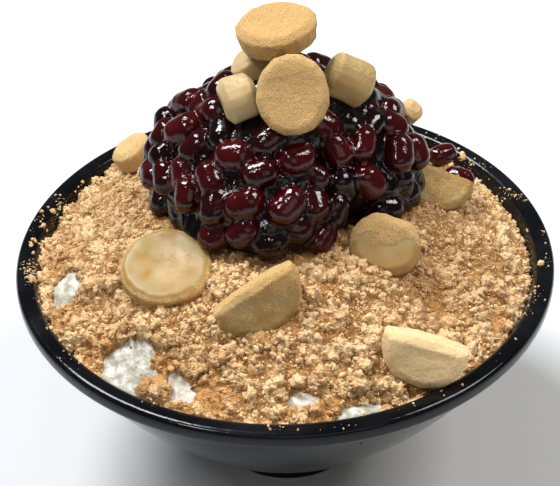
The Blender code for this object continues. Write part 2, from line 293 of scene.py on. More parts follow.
def bowlOutline():
    rim, top = bowl["rimRadius"], bowl["rimHeight"]
    foot, steps = bowl["footRadius"], bowl["steps"]
    wide = top - bowl["lipDrop"]
    band, recess = foot - bowl["footBand"], bowl["footRecess"]
    line = [Vector((0.0, recess)), Vector((band - 2.0 * mm, recess))]
    line += roundCorner((band - 1 * mm, recess), (band - 0.3 * mm, 0.0), (foot, 0.0), 0.7 * mm)
    line += roundCorner((foot - 3 * mm, 0.0), (foot, 0.0), (foot - 0.3 * mm, 5 * mm), 0.6 * mm)
    line += [Vector((foot - 0.3 * mm, bowl["footHeight"] - 1.2 * mm))]
    line += [wallPoint(1 - i / steps, 0.0) for i in range(steps)]
    line += roundCorner(wallPoint(0.05, 0.0), (bowl["neckRadius"] + 0.5 * mm, bowl["neckHeight"] + 0.9 * mm),
                        (rim - 1.2 * mm, wide - 1.9 * mm), 0.6 * mm)
    line += roundCorner((rim - 2.0 * mm, wide - 2.6 * mm), (rim, wide - 0.7 * mm), (rim, top), 1.2 * mm)
    line += roundCorner((rim, wide), (rim, top), (rim - 3 * mm, top), 1.9 * mm, 8)
    line += roundCorner((rim - 3 * mm, top), (rim - bowl["lipWidth"], top),
                        wallPoint(0.0, bowl["wall"]), 1.6 * mm, 8)
    line += [wallPoint(i / steps, bowl["wall"]) for i in range(steps + 1)]
    line += [Vector((0.0, wallPoint(1.0, bowl["wall"]).y))]
    return line


# Turns an outline about Z: the outline is swept along a circle.
def latheTree():
    tree, given, result = newTree("turned bowl", ["Path radius"], ["Sides"])
    outline = addNode(tree, "GeometryNodeMeshToCurve", {"Mesh": given["Geometry"]}).outputs["Curve"]
    circle = {"Resolution": given["Sides"], "Radius": given["Path radius"]}
    path = addNode(tree, "GeometryNodeCurvePrimitiveCircle", circle).outputs["Curve"]
    sweep = addNode(tree, "GeometryNodeCurveToMesh", {"Curve": path, "Profile Curve": outline})
    weld = addNode(tree, "GeometryNodeMergeByDistance",
                   {"Geometry": sweep.outputs["Mesh"], "Distance": 0.01 * mm})
    return closeTree(tree, given, weld.outputs["Geometry"], result)


def glazeMaterial():
    material, tree, shader, place = newMaterial("blackGlaze", bowl["roughness"], 1.52)
    streaks = noiseAt(tree, place, 55.0, 5.0, 0.62)
    spots = noiseAt(tree, place, 420.0, 4.0, 0.6)
    both = calc(tree, "MULTIPLY_ADD", streaks, 1.0, times(tree, spots, 0.25))
    setShader(tree, shader, {
        "Base Color": blend(tree, ramp(tree, streaks, 0.35, 0.7), bowl["glaze"], bowl["glazeWorn"]),
        "Roughness": ramp(tree, streaks, 0.3, 0.7, *bowl["gloss"]), "Specular IOR Level": 0.20,
        "Normal": bumpNode(tree, both, 0.35, 0.6 * mm)})
    return material


def buildBowl():
    pathRadius = bowl["pathRadius"]
    line = bowlOutline()
    points = [(p.x - pathRadius, -p.y, 0.0) for p in line]   # the sweep turns the outline over
    thing = meshObject("bowlShape", points, [], [(i, i + 1) for i in range(len(points) - 1)])
    glaze = glazeMaterial()
    grow(thing, latheTree(), {"Sides": bowl["sides"], "Path radius": pathRadius, "Material": glaze})
    body = bmesh.new()
    body.from_mesh(thing.data)
    bmesh.ops.recalc_face_normals(body, faces=body.faces[:])
    body.to_mesh(thing.data)
    body.free()
    paint(thing, glaze)
    thing.data.set_sharp_from_angle(angle=math.radians(60))
    hand(thing, "black_glaze", "bowl")
    return thing


bowlShape = buildBowl()
print("bowl done")


# Shapes of the layers.
heap = {
    "centre": (2.3 * mm, 7.5 * mm), "radius": 38.5 * mm, "floor": 86.3 * mm,
    "shoulder": 23.4 * mm, "peak": 12.5 * mm, "foot": 1.5 * mm,
}
powder = {
    "edge": 66.0 * mm, "top": 86.0 * mm, "slope": 0.62,
    "sides": 740, "rings": 100, "hiddenShare": 0.84, "seed": 0.37,
    "reliefRoom": 1.4 * mm, "cakeRoom": 2.5 * mm, "thickness": 5.0 * mm,
    # relief: size and height of the clumps, the crumbs and the grit
    "clumpSize": 4.9 * mm, "clumpHeight": 2.6 * mm, "crumbSize": 2.1 * mm, "crumbHeight": 1.15 * mm,
    "gritSize": 1.05 * mm, "gritHeight": 0.7 * mm,
    "dry": (0.85, 0.565, 0.28), "light": (0.97, 0.73, 0.44), "brown": (0.70, 0.41, 0.165),
    # low: painted shade, the colour given to the powder deep between the crumbs
    "wet": (0.56, 0.265, 0.065), "low": (0.38, 0.170, 0.040),
}
# Mounds and hollows in the powder: place, reach and rise.
mounds = [
    {"at": (38, -31), "reach": 8.5, "rise": -4.4}, {"at": (23, -36), "reach": 9.0, "rise": 1.6},
    {"at": (50, -12), "reach": 12.0, "rise": 1.4}, {"at": (-30, -40), "reach": 9.0, "rise": 1.2},
    {"at": (9, -52), "reach": 6.0, "rise": -1.6}, {"at": (-52, -14), "reach": 8.0, "rise": 1.0},
]
# Where ice shows through the powder: place, and half sizes across and down the slope.
icePatches = [
    {"at": (-60.0, -16.5), "wide": 6.0, "long": 4.6, "rise": 2.6},
    {"at": (-41.5, -49.5), "wide": 8.5, "long": 9.0, "rise": 0.6},
    {"at": (-27.5, -55.5), "wide": 4.8, "long": 3.6, "rise": 0.5},
    {"at": (4.0, -61.5), "wide": 4.2, "long": 2.8, "rise": 0.8},
    {"at": (17.5, -64.0), "wide": 7.5, "long": 2.4, "rise": 1.2},
]
# Spots where the powder is soaked and amber: place and reach.
wetSpots = [
    {"at": (38, -32), "reach": 10}, {"at": (-20, -60), "reach": 12}, {"at": (-62, -4), "reach": 8},
    {"at": (-48, -42), "reach": 9}, {"at": (6, -64), "reach": 12}, {"at": (-2, -45), "reach": 8},
    {"at": (56, -34), "reach": 5}, {"at": (-33, -52), "reach": 9}, {"at": (-57, -27), "reach": 8},
]


def heapEdge(angle):
    def swell(centre, width):
        away = (math.degrees(angle) - centre + 180) % 360 - 180
        return math.exp(-(away / width) ** 2)
    edge = heap["radius"] - 10.5 * mm * swell(-58, 30) - 1.5 * mm * swell(-115, 20)
    return edge + 3.0 * mm * swell(160, 25) - 1.5 * mm * swell(90, 40)


def shareOfHeap(x, y):
    dx, dy = x - heap["centre"][0], y - heap["centre"][1]
    return math.hypot(dx, dy) / heapEdge(math.atan2(dy, dx))


def powderHeight(x, y):
    radius = math.hypot(x, y)
    cone = powder["edge"] + powder["slope"] * (69.0 * mm - radius)
    underBeans = smoothStep(0.0, 1.0, (1.12 - shareOfHeap(x, y)) / 0.1)
    bed = cone + (powder["top"] - cone) * underBeans
    calm = smoothStep(0.0, 1.0, (68.0 * mm - radius) / (8.0 * mm)) * (1 - underBeans)
    waves = 1.6 * mm * noise.noise(Vector((x, y, 0.0)) / (16.0 * mm)) * calm
    waves += 1.1 * mm * noise.noise(Vector((x, y, 4.0 * mm)) / (8.0 * mm)) * calm
    for mound in mounds:
        away = math.hypot(x - mound["at"][0] * mm, y - mound["at"][1] * mm) / (mound["reach"] * mm)
        waves += mound["rise"] * mm * math.exp(-away ** 2) * calm
    return min(bed + waves, powder["top"])


# 1 in the middle of an ice patch and 0 outside it, with a ragged edge. Also how far the ice rises.
def icePatch(x, y):
    bare, rise = 0.0, 0.0
    for patch in icePatches:
        dx, dy = x - patch["at"][0] * mm, y - patch["at"][1] * mm
        turn = math.atan2(patch["at"][1], patch["at"][0])
        down = dx * math.cos(turn) + dy * math.sin(turn)
        across = -dx * math.sin(turn) + dy * math.cos(turn)
        away = math.hypot(across / (patch["wide"] * mm), down / (patch["long"] * mm))
        if away < 1.8:
            ragged = 0.48 * noise.noise(Vector((x, y, 3.0 * mm)) / (3.4 * mm))
            ragged += 0.16 * noise.noise(Vector((x, y, 8.0 * mm)) / (1.3 * mm))
            bare = max(bare, smoothStep(1.08, 0.88, away + ragged))
            rise = max(rise, patch["rise"] * mm * smoothStep(1.2, 0.2, away + 0.5 * ragged))
    return bare, rise


def bareness(x, y):
    return icePatch(x, y)[0]


# Ice.
ice = {
    "sides": 620, "fineFrom": 44.0 * mm, "fineStep": 0.62 * mm, "cover": 2.3 * mm,
    "wallGap": 0.25 * mm, "wallTop": 62.0 * mm, "wallSteps": 10,
    "flakeSize": 2.2 * mm, "flakeHeight": 1.1 * mm, "seed": 4,
    "colour": (0.67, 0.645, 0.585), "deep": (0.44, 0.39, 0.295), "roughness": 0.40,
}


# Moves a surface in and out along its normals by noise and cells, as much as the mask allows.
def flakeTree():
    tree, given, result = newTree("ice flakes", ["Size", "Height", "Seed"])
    place = tree.nodes.new("GeometryNodeInputPosition").outputs[0]
    shift = vectorCalc(tree, "ADD", place, given["Seed"])
    scale = calc(tree, "DIVIDE", 1.0, given["Size"])
    plates = cellsAt(tree, shift, scale)
    lumps = noiseAt(tree, shift, times(tree, scale, 0.45), 4.0, 0.6)
    relief = calc(tree, "ADD", times(tree, calc(tree, "SUBTRACT", 0.45, plates), 0.8),
                  times(tree, calc(tree, "SUBTRACT", lumps, 0.5), 2.4))
    amount = times(tree, times(tree, relief, given["Height"]), stored(tree, "shows"))
    return closeTree(tree, given, pushOut(tree, given, amount), result)


def iceMaterial():
    material, tree, shader, place = newMaterial("shavedIce", ice["roughness"], 1.31)
    tangle = noiseAt(tree, place, 300.0, 5.0, 0.65)
    grains = cellsAt(tree, place, 1100.0)
    streaks = noiseAt(tree, vectorCalc(tree, "MULTIPLY", place, (1.0, 3.0, 1.0)), 420.0, 3.0)
    height = calc(tree, "ADD", times(tree, tangle, 1.3), times(tree, grains, 0.5))
    height = calc(tree, "ADD", height, times(tree, streaks, 0.5))
    setShader(tree, shader, {
        "Base Color": blend(tree, ramp(tree, tangle, 0.38, 0.62), ice["deep"], ice["colour"]),
        "Subsurface Weight": 0.55, "Subsurface Radius": (1.0, 1.0, 0.95), "Subsurface Scale": 2.0 * mm,
        "Coat Weight": 0.25, "Coat Roughness": 0.15, "Normal": bumpNode(tree, height, 0.5, 0.6 * mm)})
    return material


def buildIce():
    edge, sides = innerRadius(powder["edge"] - 2.0 * mm, ice["wallGap"]), ice["sides"]
    radii = [ice["fineFrom"] * share for share in (0.12, 0.3, 0.5, 0.7, 0.85)]
    while radii[-1] < edge - ice["fineStep"]:
        radii.append(max(ice["fineFrom"], radii[-1] + ice["fineStep"]))
    radii[-1] = edge
    points, shows, rings = [(0.0, 0.0, powderHeight(0.0, 0.0) - ice["cover"])], [0.0], []

    def addRing(radius, height):
        ring = []
        for i in range(sides):
            turn = 2 * math.pi * i / sides
            x, y = radius * math.cos(turn), radius * math.sin(turn)
            bare, rise = icePatch(x, y) if height is None else (0.0, 0.0)
            ring.append(len(points))
            points.append((x, y, powderHeight(x, y) - ice["cover"] + rise if height is None else height))
            shows.append(bare * smoothStep(edge + 0.1 * mm, edge - 1.2 * mm, radius))
        rings.append(ring)

    for radius in radii:
        addRing(radius, None)
    floor = wallPoint(0.97, bowl["wall"] + 0.4 * mm).y
    for step in range(1, ice["wallSteps"] + 1):
        height = ice["wallTop"] - (ice["wallTop"] - floor) * step / ice["wallSteps"]
        addRing(innerRadius(height, ice["wallGap"]), height)
    points.append((0.0, 0.0, floor))
    shows.append(0.0)
    faces = [(0, rings[0][i], rings[0][(i + 1) % sides]) for i in range(sides)]
    for near, far in zip(rings, rings[1:]):
        faces += band(near, far)
    faces += [(rings[-1][i], len(points) - 1, rings[-1][(i + 1) % sides]) for i in range(sides)]
    body = meshObject("iceBody", points, faces)
    body.data.shade_smooth()
    setMask(body.data, "shows", shows)
    white = iceMaterial()
    grow(body, flakeTree(), {
        "Size": ice["flakeSize"], "Height": ice["flakeHeight"], "Seed": ice["seed"], "Material": white})
    paint(body, white)
    hand(body, "ice", "shaved_ice")
    return body


iceBody = buildIce()
print("ice done")


# Powder.
def reliefTree():
    numbers = [size + part for size in ("Clump", "Crumb", "Grit") for part in (" size", " height")]
    tree, given, result = newTree("powder relief", [*numbers, "Seed"])
    place = tree.nodes.new("GeometryNodeInputPosition").outputs[0]

    # Rounded crumbs of one size, each with its own height. Some are missing.
    def crumbs(label, share, shift):
        size = given[label + " size"]
        bend = noiseAt(tree, place, calc(tree, "DIVIDE", 1.1, size)).node.outputs["Color"]
        warp = vectorCalc(tree, "SCALE", bend, times(tree, size, 0.55))
        warped = vectorCalc(tree, "ADD", vectorCalc(tree, "ADD", place, warp),
                            calc(tree, "ADD", given["Seed"], shift))
        cell = cellsAt(tree, warped, calc(tree, "DIVIDE", 1.0, size))
        flat = times(tree, cell, 1.75)
        dome = calc(tree, "MAXIMUM", calc(tree, "SUBTRACT", 1.0, times(tree, flat, flat)), 0.0)
        tone = addNode(tree, "ShaderNodeSeparateXYZ", {0: cell.node.outputs["Color"]})
        present = ramp(tree, tone.outputs[0], 1 - share, 1 - share * 0.35)
        return times(tree, times(tree, calc(tree, "SQRT", dome), present), given[label + " height"])

    clump = times(tree, crumbs("Clump", 0.62, 0.1), stored(tree, "coarse"))
    total = calc(tree, "ADD", clump, crumbs("Crumb", 0.85, 0.3))
    total = times(tree, calc(tree, "ADD", total, crumbs("Grit", 0.9, 0.7)), stored(tree, "relief"))
    # How far a spot stands up out of the relief: the powder material paints shade where this is low.
    high = ramp(tree, calc(tree, "DIVIDE", total, given["Crumb height"]), 0.15, 1.2)
    keep = addNode(tree, "GeometryNodeStoreNamedAttribute",
                   {"Name": "openToLight", "Geometry": pushOut(tree, given, total), "Value": high})
    return closeTree(tree, given, keep.outputs[0], result)


def powderMaterial():
    material, tree, shader, place = newMaterial("soybeanPowder", 0.95)
    soft = noiseAt(tree, place, 130.0, 4.0, 0.6)
    fine = noiseAt(tree, place, 1500.0, 3.0, 0.6)
    spread = noiseAt(tree, place, 210.0, 3.0, 0.6)
    wet = None
    flat = vectorCalc(tree, "MULTIPLY", place, (1.0, 1.0, 0.0))
    for spot in wetSpots:
        away = vectorCalc(tree, "DISTANCE", flat, tuple(value * mm for value in (*spot["at"], 0.0)))
        near = ramp(tree, away, spot["reach"] * mm, 0.15 * spot["reach"] * mm)
        wet = near if wet is None else calc(tree, "MAXIMUM", wet, near)
    offRim = ramp(tree, vectorCalc(tree, "LENGTH", flat), 70.0 * mm, 68.5 * mm)
    soaked = times(tree, times(tree, wet, offRim), ramp(tree, spread, 0.38, 0.57))
    browned = calc(tree, "ADD", soft, times(tree, maskNode(tree, "shade"), 0.14))
    dry = blend(tree, ramp(tree, browned, 0.36, 0.74), powder["dry"], powder["brown"])
    dry = blend(tree, ramp(tree, fine, 0.35, 0.75, 0.0, 0.5), dry, powder["light"])
    dry = blend(tree, maskNode(tree, "openToLight"), powder["low"], dry)   # painted shade: darker and browner deep between the crumbs, where little light reaches
    grain = times(tree, cellsAt(tree, place, 2100.0), -0.8)
    height = calc(tree, "ADD", times(tree, fine, 1.6), grain)
    setShader(tree, shader, {
        "Base Color": blend(tree, soaked, dry, powder["wet"]),
        "Roughness": ramp(tree, soaked, 0.0, 1.0, 0.95, 0.42), "Sheen Weight": 0.12,
        "Subsurface Weight": 0.12, "Subsurface Radius": (1.0, 0.6, 0.3), "Subsurface Scale": 0.5 * mm,
        "Normal": bumpNode(tree, height, 0.9, 0.45 * mm)})
    return material


powderPaint = powderMaterial()


# How coarse the powder lies: clumps to the left and the front, finer to the right and the back.
def coarseness(x, y):
    front = smoothStep(-5 * mm, -45 * mm, y)
    left = smoothStep(0.0, -45 * mm, x)
    border = smoothStep(54.0 * mm, 62.0 * mm, math.hypot(x, y))
    drift = noise.noise(Vector((x, y, 9.0 * mm)) / (11.0 * mm))
    return min(max(0.18 + 0.6 * front + 0.35 * left + 0.45 * border + 0.5 * drift, 0.0), 1.0)


# Surfaces of the rice cakes, to find what lies over or near a spot.
cakeShells = []
for node in sorted(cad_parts):
    if node.startswith("rice_cake"):
        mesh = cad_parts[node].data
        corners = [corner.co.copy() for corner in mesh.vertices]
        cakeShells.append(BVHTree.FromPolygons(corners, [list(face.vertices) for face in mesh.polygons]))


# Height of the rice cake that lies over a spot, or None.
def cakeOver(x, y):
    found = None
    for shell in cakeShells:
        hit = shell.ray_cast(Vector((x, y, 0.2)), Vector((0, 0, -1)))[0]
        if hit is not None:
            found = hit.z if found is None else min(found, hit.z)
    return found


# A closed ring of powder round the heap: rings from its inner edge out over the top, then back underneath.
def buildPowder():
    edge = innerRadius(powder["edge"], 0.15 * mm)
    sides, steps, under = powder["sides"], powder["rings"], 6
    points, coarse, relief, top = [], [], [], []

    def hiddenTo(turn):
        low, high = 0.0, edge
        for _ in range(18):
            middle = (low + high) / 2
            if shareOfHeap(middle * math.cos(turn), middle * math.sin(turn)) < powder["hiddenShare"]:
                low = middle
            else:
                high = middle
        return low

    inner = [hiddenTo(2 * math.pi * i / sides) for i in range(sides)]
    for k in range(steps + 1):
        loose = 0.0 if k in (0, steps) else 0.16 * mm
        for i in range(sides):
            turn = 2 * math.pi * i / sides + loose / edge * noise.noise(Vector((i, k, 0.3)))
            radius = inner[i] + (edge - inner[i]) * k / steps + loose * noise.noise(Vector((i, k, 7.7)))
            x, y = radius * math.cos(turn), radius * math.sin(turn)
            bare = bareness(x, y)
            z = powderHeight(x, y) - powder["reliefRoom"] - bare * 7.0 * mm
            over, room = cakeOver(x, y), 1.0
            if over is not None:
                room = smoothStep(1.0 * mm, 5.0 * mm, over - z)
                z = min(z, over - powder["cakeRoom"])
            points.append((x, y, z))
            coarse.append(coarseness(x, y))
            offEdge = smoothStep(0.0, 2.0 * mm, edge - radius + 0.8 * mm)
            relief.append((1 - bare) * offEdge * (0.15 + 0.85 * room))
            top.append(1.0)
    for k in range(under + 1):
        for i in range(sides):
            turn = 2 * math.pi * i / sides
            radius = edge + (inner[i] - edge) * k / under
            x, y = radius * math.cos(turn), radius * math.sin(turn)
            z = powderHeight(x, y) - powder["thickness"] - bareness(x, y) * 6.0 * mm
            inside = min(1.0, innerRadius(z, 0.2 * mm) / radius)
            points.append((x * inside, y * inside, z))
            coarse.append(0.0)
            relief.append(0.0)
            top.append(0.0)
    rings = [range(first, first + sides) for first in range(0, len(points), sides)]
    faces = [face for near, far in zip(rings, rings[1:] + rings[:1]) for face in band(near, far)]
    core = meshObject("powderCore", points, faces)
    for name, values in (("coarse", coarse), ("relief", relief), ("top", top)):
        setMask(core.data, name, values)
    core.data.shade_smooth()
    grow(core, reliefTree(), {
        "Clump size": powder["clumpSize"], "Clump height": powder["clumpHeight"],
        "Crumb size": powder["crumbSize"], "Crumb height": powder["crumbHeight"],
        "Grit size": powder["gritSize"], "Grit height": powder["gritHeight"],
        "Seed": powder["seed"], "Material": powderPaint})
    paint(core, powderPaint)
    hand(core, "soybean_powder", "bean_powder")
    return core


powderCore = buildPowder()
print("powder done")


# Beans in syrup.
beans = {
    "length": 11.0 * mm, "width": 7.9 * mm, "bend": 0.7 * mm, "apart": 6.4 * mm, "sunk": 1.2 * mm,
    "lean": 0.30, "seed": 21,
    # rows round the heap: each one's share of the way to the foot, and the spacing of its beans
    "rows": (0.50, 0.70, 0.85, 0.97), "rowGap": 11.0 * mm, "rowJitter": 0.3, "tries": 9000,
    "clear": 4.5 * mm,                         # kept between a bean's middle and a rice cake
    "syrupDepth": 0.4 * mm, "syrupUneven": 3.6 * mm, "voxel": 0.5 * mm, "smoothing": 3,
    "skin": (0.054, 0.0018, 0.0022), "skinDark": (0.006, 0.0004, 0.0005), "syrup": (0.003, 0.0004, 0.0004),
}


def heapPoint(turn, share, sunk=0.0):
    def at(angle, portion):
        reach = heapEdge(angle) * portion
        rise = heap["shoulder"] * max(0.0, 1 - portion ** 2.9) ** 0.48
        rise += heap["peak"] * math.exp(-(portion / 0.5) ** 2)
        return Vector((heap["centre"][0] + reach * math.cos(angle),
                       heap["centre"][1] + reach * math.sin(angle), heap["floor"] + heap["foot"] + rise))
    near, far = max(share - 0.01, 0.001), min(share + 0.01, 1.0)
    outward = at(turn, far) - at(turn, near)
    around = at(turn + 0.02, max(share, 0.02)) - at(turn - 0.02, max(share, 0.02))
    normal = outward.cross(around).normalized()
    if normal.z < 0:
        normal.negate()
    return at(turn, share) - normal * sunk, normal


# Places for the beans: uneven rows of plump ones first, then others in between till the heap is full.
def placeBeans():
    chance = random.Random(beans["seed"])
    placed = []

    def put(turn, share, spin, size, sunk):
        at, normal = heapPoint(turn, share, sunk)
        down = Vector((math.cos(turn), math.sin(turn), 0.0))
        side = normal.cross(down).normalized()
        down = side.cross(normal)
        longWay = down * math.cos(spin) + side * math.sin(spin)
        placed.append({"at": at, "normal": normal, "long": longWay, "size": size,
                       "shade": 0.35 + 0.65 * chance.random()})

    def nearCake(at):
        return any(shell.find_nearest(at, beans["clear"])[0] is not None for shell in cakeShells)

    for row, share in enumerate(beans["rows"]):
        count = round(2 * math.pi * heap["radius"] * share / beans["rowGap"])
        for i in range(count):
            turn = 2 * math.pi * (i + row / 2 + chance.uniform(-1, 1) * beans["rowJitter"]) / count
            down = min(1.0, share + chance.uniform(-0.05, 0.05))
            spin, size = chance.uniform(-1.2, 1.2), chance.uniform(0.88, 1.12)
            at = heapPoint(turn, down, beans["sunk"])[0]
            if any((at - other["at"]).length < beans["apart"] * 1.1 for other in placed):
                continue
            if nearCake(at):
                continue
            put(turn, down, spin, size, beans["sunk"])
    front = len(placed)
    for _ in range(beans["tries"]):
        turn = chance.uniform(-math.pi, math.pi)
        share = math.sqrt(chance.random()) * 1.02
        at, normal = heapPoint(turn, min(share, 1.0), beans["sunk"])
        if share > 0.95:                       # the steep foot takes beans at several heights
            at = at.lerp(Vector((at.x, at.y, heap["floor"] + 2.5 * mm)), chance.random())
        gaps = [beans["apart"] * (1.04 if k < front else 1.0) for k in range(len(placed))]
        if any((at - other["at"]).length < gap for other, gap in zip(placed, gaps)):
            continue
        if nearCake(at):
            continue
        spin = chance.uniform(-math.pi / 2, math.pi / 2)
        lean = chance.gauss(0.0, beans["lean"])
        put(turn, min(share, 1.0), spin, chance.uniform(0.82, 1.08), beans["sunk"])
        bean = placed[-1]
        bean["at"] = at - normal * chance.uniform(0.0, 2.6) * mm
        bean["shade"] = chance.random() ** 1.9
        tip = Matrix.Rotation(lean, 3, bean["normal"].cross(bean["long"]))
        bean["normal"], bean["long"] = tip @ bean["normal"], tip @ bean["long"]
    return placed


def beanFrame(bean):
    longWay, normal = bean["long"].normalized(), bean["normal"].normalized()
    side = normal.cross(longWay).normalized()
    return Matrix((longWay, side, longWay.cross(side))).transposed()


# One plump, slightly bent bean at each point, turned and sized by the point's own values.
def beanTree():
    tree, given, result = newTree("beans", ["Length", "Width", "Bend"])
    ball = addNode(tree, "GeometryNodeMeshIcoSphere", {"Radius": 1.0, "Subdivisions": 4})
    place = tree.nodes.new("GeometryNodeInputPosition").outputs[0]
    x, y, z = addNode(tree, "ShaderNodeSeparateXYZ", {0: place}).outputs
    square = times(tree, x, x)
    swell = times(tree, times(tree, square, calc(tree, "SUBTRACT", 1.0, square)), 0.55)
    blunt = calc(tree, "ADD", 1.0, swell)
    half = times(tree, given["Width"], 0.5)
    bend = times(tree, calc(tree, "SUBTRACT", 0.33, square), given["Bend"])
    joined = addNode(tree, "ShaderNodeCombineXYZ", {
        0: times(tree, x, times(tree, given["Length"], 0.5)),
        1: calc(tree, "ADD", times(tree, times(tree, y, half), blunt), bend),
        2: times(tree, times(tree, times(tree, z, half), blunt), 0.93)})
    shape = addNode(tree, "GeometryNodeSetPosition",
                    {"Geometry": ball.outputs["Mesh"], "Position": joined.outputs[0]})
    spots = addNode(tree, "GeometryNodeMeshToPoints", {"Mesh": given["Geometry"]})
    put = addNode(tree, "GeometryNodeInstanceOnPoints", {
        "Points": spots.outputs[0], "Instance": shape.outputs[0],
        "Rotation": stored(tree, "aim", "FLOAT_VECTOR"), "Scale": stored(tree, "size")})
    return closeTree(tree, given, put.outputs[0], result)


def beanMaterial():
    material, tree, shader, place = newMaterial("beansInSyrup", 0.1, 1.47)
    mask, tone = maskNode(tree, "bean"), maskNode(tree, "tone")
    mottle = noiseAt(tree, place, 420.0, 4.0, 0.6)
    depth = ramp(tree, calc(tree, "ADD", tone, times(tree, mottle, 0.5)), 0.35, 1.25)
    skin = blend(tree, depth, beans["skinDark"], beans["skin"])
    ripple = times(tree, noiseAt(tree, place, 210.0, 4.0, 0.55), ramp(tree, mask, 0.0, 1.0, 1.7, 0.9))
    pores = times(tree, noiseAt(tree, place, 1100.0), 0.10)
    setShader(tree, shader, {
        "Base Color": blend(tree, mask, beans["syrup"], skin),
        "Roughness": ramp(tree, mottle, 0.35, 0.7, 0.035, 0.09), "Specular IOR Level": 0.46,
        "Subsurface Weight": 0.06, "Subsurface Radius": (1.0, 0.2, 0.15), "Subsurface Scale": 1.2 * mm,
        "Normal": bumpNode(tree, calc(tree, "ADD", ripple, pores), 0.6, 0.8 * mm)})
    return material


beanPaint = beanMaterial()


# How far each corner is from being bean (1) towards being syrup (0), and its bean's own tone.
def markBeans(mesh, placed):
    finder = KDTree(len(placed))
    for i, bean in enumerate(placed):
        finder.insert(bean["at"], i)
    finder.balance()
    turned = [beanFrame(bean).transposed() for bean in placed]
    masks, tones = [], []
    for corner in mesh.vertices:
        best, tone = 9.0, 0.5
        for _, i, _ in finder.find_n(corner.co, 4):
            bean = placed[i]
            local = turned[i] @ (corner.co - bean["at"])
            size = bean["size"]
            away = math.sqrt((local.x / (beans["length"] / 2 * size)) ** 2
                             + (local.y / (beans["width"] / 2 * size)) ** 2
                             + (local.z / (beans["width"] * 0.465 * size)) ** 2)
            if away < best:
                best, tone = away, bean["shade"]
        masks.append(smoothStep(1.20, 1.00, best))
        tones.append(tone)
    setMask(mesh, "bean", masks)
    setMask(mesh, "tone", tones)


def buildBeans():
    placed = placeBeans()
    spots = meshObject("beanSpots", [bean["at"] for bean in placed], [])
    aims = []
    for bean in placed:
        aims.extend(beanFrame(bean).to_euler())
    spots.data.attributes.new("aim", "FLOAT_VECTOR", "POINT").data.foreach_set("vector", aims)
    setMask(spots.data, "size", [bean["size"] for bean in placed])
    grow(spots, beanTree(), {
        "Length": beans["length"], "Width": beans["width"], "Bend": beans["bend"], "Material": beanPaint})

    body = bmesh.new()
    body.from_mesh(spots.data)
    rings, sides = [], 96
    for step in range(1, 33):
        share = (step / 32) ** 0.8
        ring = []
        for i in range(sides):
            turn = 2 * math.pi * i / sides
            at, normal = heapPoint(turn, share)
            uneven = beans["syrupUneven"] * noise.noise(at / (9.0 * mm))
            uneven += 1.7 * mm * smoothStep(0.45, 0.85, share)      # the syrup has run off further down
            ring.append(body.verts.new(at - normal * (beans["syrupDepth"] + uneven)))
        rings.append(ring)
    foot = [body.verts.new((corner.co.x, corner.co.y, heap["floor"] + 0.2 * mm)) for corner in rings[-1]]
    rings.append(foot)
    for near, far in zip(rings, rings[1:]):
        for corners in band(near, far):
            body.faces.new(corners)
    top = body.verts.new(heapPoint(0.0, 0.0)[0] - Vector((0, 0, beans["syrupDepth"])))
    base = body.verts.new((*heap["centre"], heap["floor"] + 0.2 * mm))
    for i in range(sides):
        j = (i + 1) % sides
        body.faces.new((top, rings[0][i], rings[0][j]))
        body.faces.new((foot[i], base, foot[j]))
    bpy.data.objects.remove(spots)
    skin = newObject("beanHeap", meshFrom(body, "beanHeap"))
    remeshed(skin, beans["voxel"], beans["smoothing"])
    markBeans(skin.data, placed)
    paint(skin, beanPaint)
    hand(skin, "red_beans", "red_bean_heap")
    print("   beans in the heap:", len(placed))
    return skin


beanHeap = buildBeans()

for node in ("loose_bean_near", "loose_bean_far"):
    loose = copyOfNode(node, node + "_shown")
    remeshed(loose, 0.35 * mm, 4)
    for name, value in (("bean", 1.0), ("tone", 0.7)):
        setMask(loose.data, name, [value] * len(loose.data.vertices))
    paint(loose, beanPaint)
    hand(loose, "red_beans", node)
print("beans done")


# Rice cakes.
cakes = {
    "voxel": 0.36 * mm, "smoothing": 9, "wobble": 0.42 * mm, "grain": 0.10 * mm,
    "moist": (0.34, 0.240, 0.090), "rich": (0.34, 0.182, 0.040), "brown": (0.36, 0.145, 0.020),
    "dust": (0.60, 0.388, 0.160), "shade": (0.46, 0.252, 0.074),
    "paleMoist": (0.78, 0.62, 0.36), "paleDust": (0.90, 0.67, 0.37),
    "stained": ("rice_cake_left", "rice_cake_right"),              # browned where damp powder sticks
}
# face: where the slice looks, as elevation and azimuth. dust: how dusty its face and its sides are.
# hollow: mm the face sinks in. pale: how much paler than the plain colours. centre: paler still in
# the middle. crown: extra dust towards the top.
cakeLooks = {
    "rice_cake_top": {"face": (82, 205), "dust": (0.85, 0.72), "hollow": 0.5, "pale": 0.0},
    "rice_cake_front": {"face": (33, -97), "dust": (0.80, 0.62), "hollow": 0.2, "pale": 0.1},
    "rice_cake_left_stub": {"face": (-12, 195), "dust": (0.10, 0.22), "pale": 0.45},
    "rice_cake_back_stub": {"face": (55, 170), "dust": (0.25, 0.20), "pale": 0.4},
    "rice_cake_right_stub": {"face": (30, 180), "dust": (0.45, 0.30), "hollow": 0.2, "pale": 0.15},
    "rice_cake_left": {"face": (76, -100), "dust": (0.14, 0.66), "hollow": 0.5, "pale": 0.0, "centre": 0.3},
    "rice_cake_centre": {"face": (22, -82), "dust": (0.45, 0.85), "hollow": 0.2, "pale": 0.05, "crown": 0.3},
    "rice_cake_right": {"face": (44, -98), "dust": (0.12, 0.45), "pale": 0.12, "crown": 0.9},
    "rice_cake_rim": {"face": (20, -102), "dust": (0.95, 1.0), "hollow": 0.1, "pale": 0.75},
    "rice_cake_far_right": {"face": (55, -55), "dust": (0.10, 0.40), "pale": 0.0},
    "rice_cake_far_left": {"face": (62, 170), "dust": (0.85, 0.85), "pale": 0.2},
    "rice_cake_shoulder": {"face": (50, -30), "dust": (0.90, 0.90), "pale": 0.3},
}


